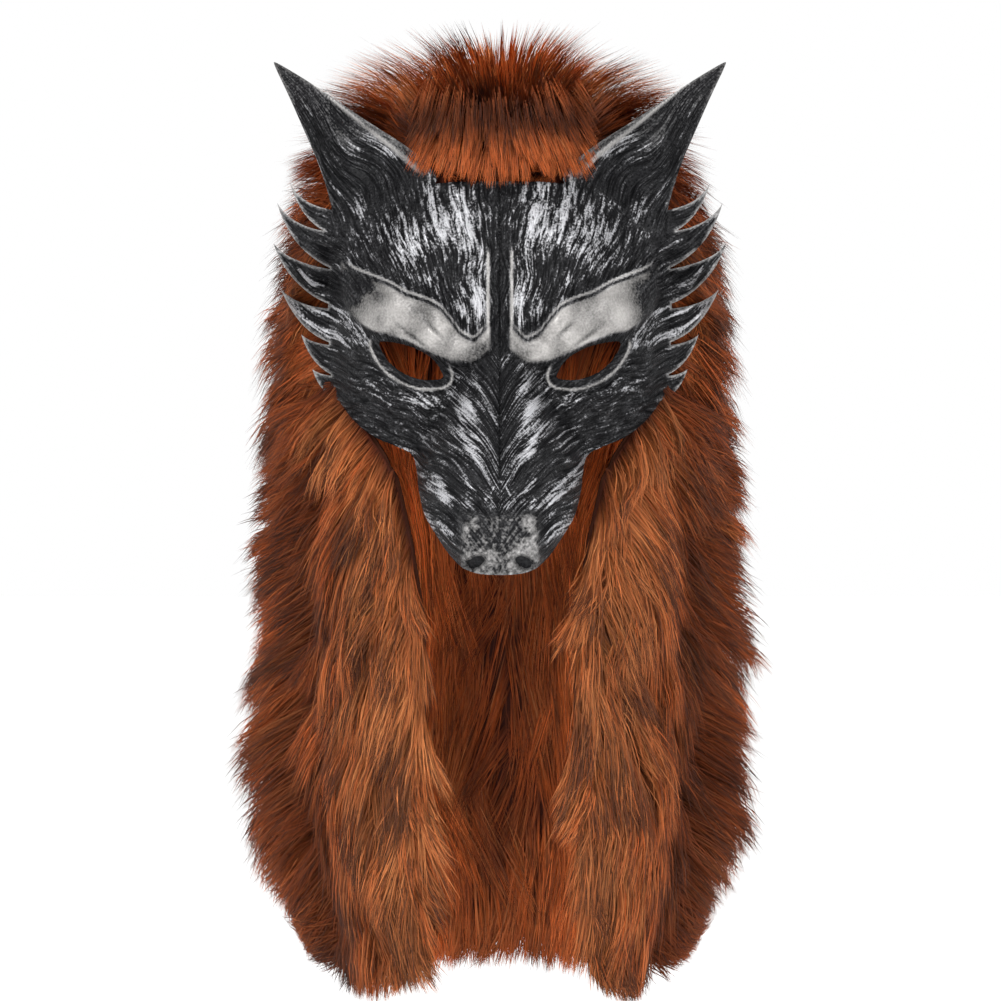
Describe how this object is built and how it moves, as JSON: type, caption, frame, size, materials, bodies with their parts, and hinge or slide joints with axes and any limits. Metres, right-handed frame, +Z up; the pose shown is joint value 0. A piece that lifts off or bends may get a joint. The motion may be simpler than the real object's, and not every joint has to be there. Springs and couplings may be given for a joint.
{
  "type": "werewolf half mask with fur hood",
  "caption": "Wolf-faced half mask in a hard moulding, open below the snout, on a long faux-fur hood that hangs round the head.",
  "frame": {"origin": "inside the top of the hood, where the crown of the wearer's head touches it", "axes": "+Z up, -Y out of the face, +X towards the wearer's left"},
  "size_m": [0.2655, 0.304, 0.477],
  "materials": {
    "mask": "black with silver dry-brushing",
    "knit": "knitted pile backing",
    "fur": "long faux fur with dark tips"
  },
  "bodies": {
    "root": {"mask_shell": "mask", "hood_backing": "knit", "crown_fur": "fur", "back_fur": "fur", "left_side_fur": "fur", "right_side_fur": "fur", "left_front_fur": "fur", "right_front_fur": "fur", "inner_back_fur": "fur"}
  },
  "joints": []
}
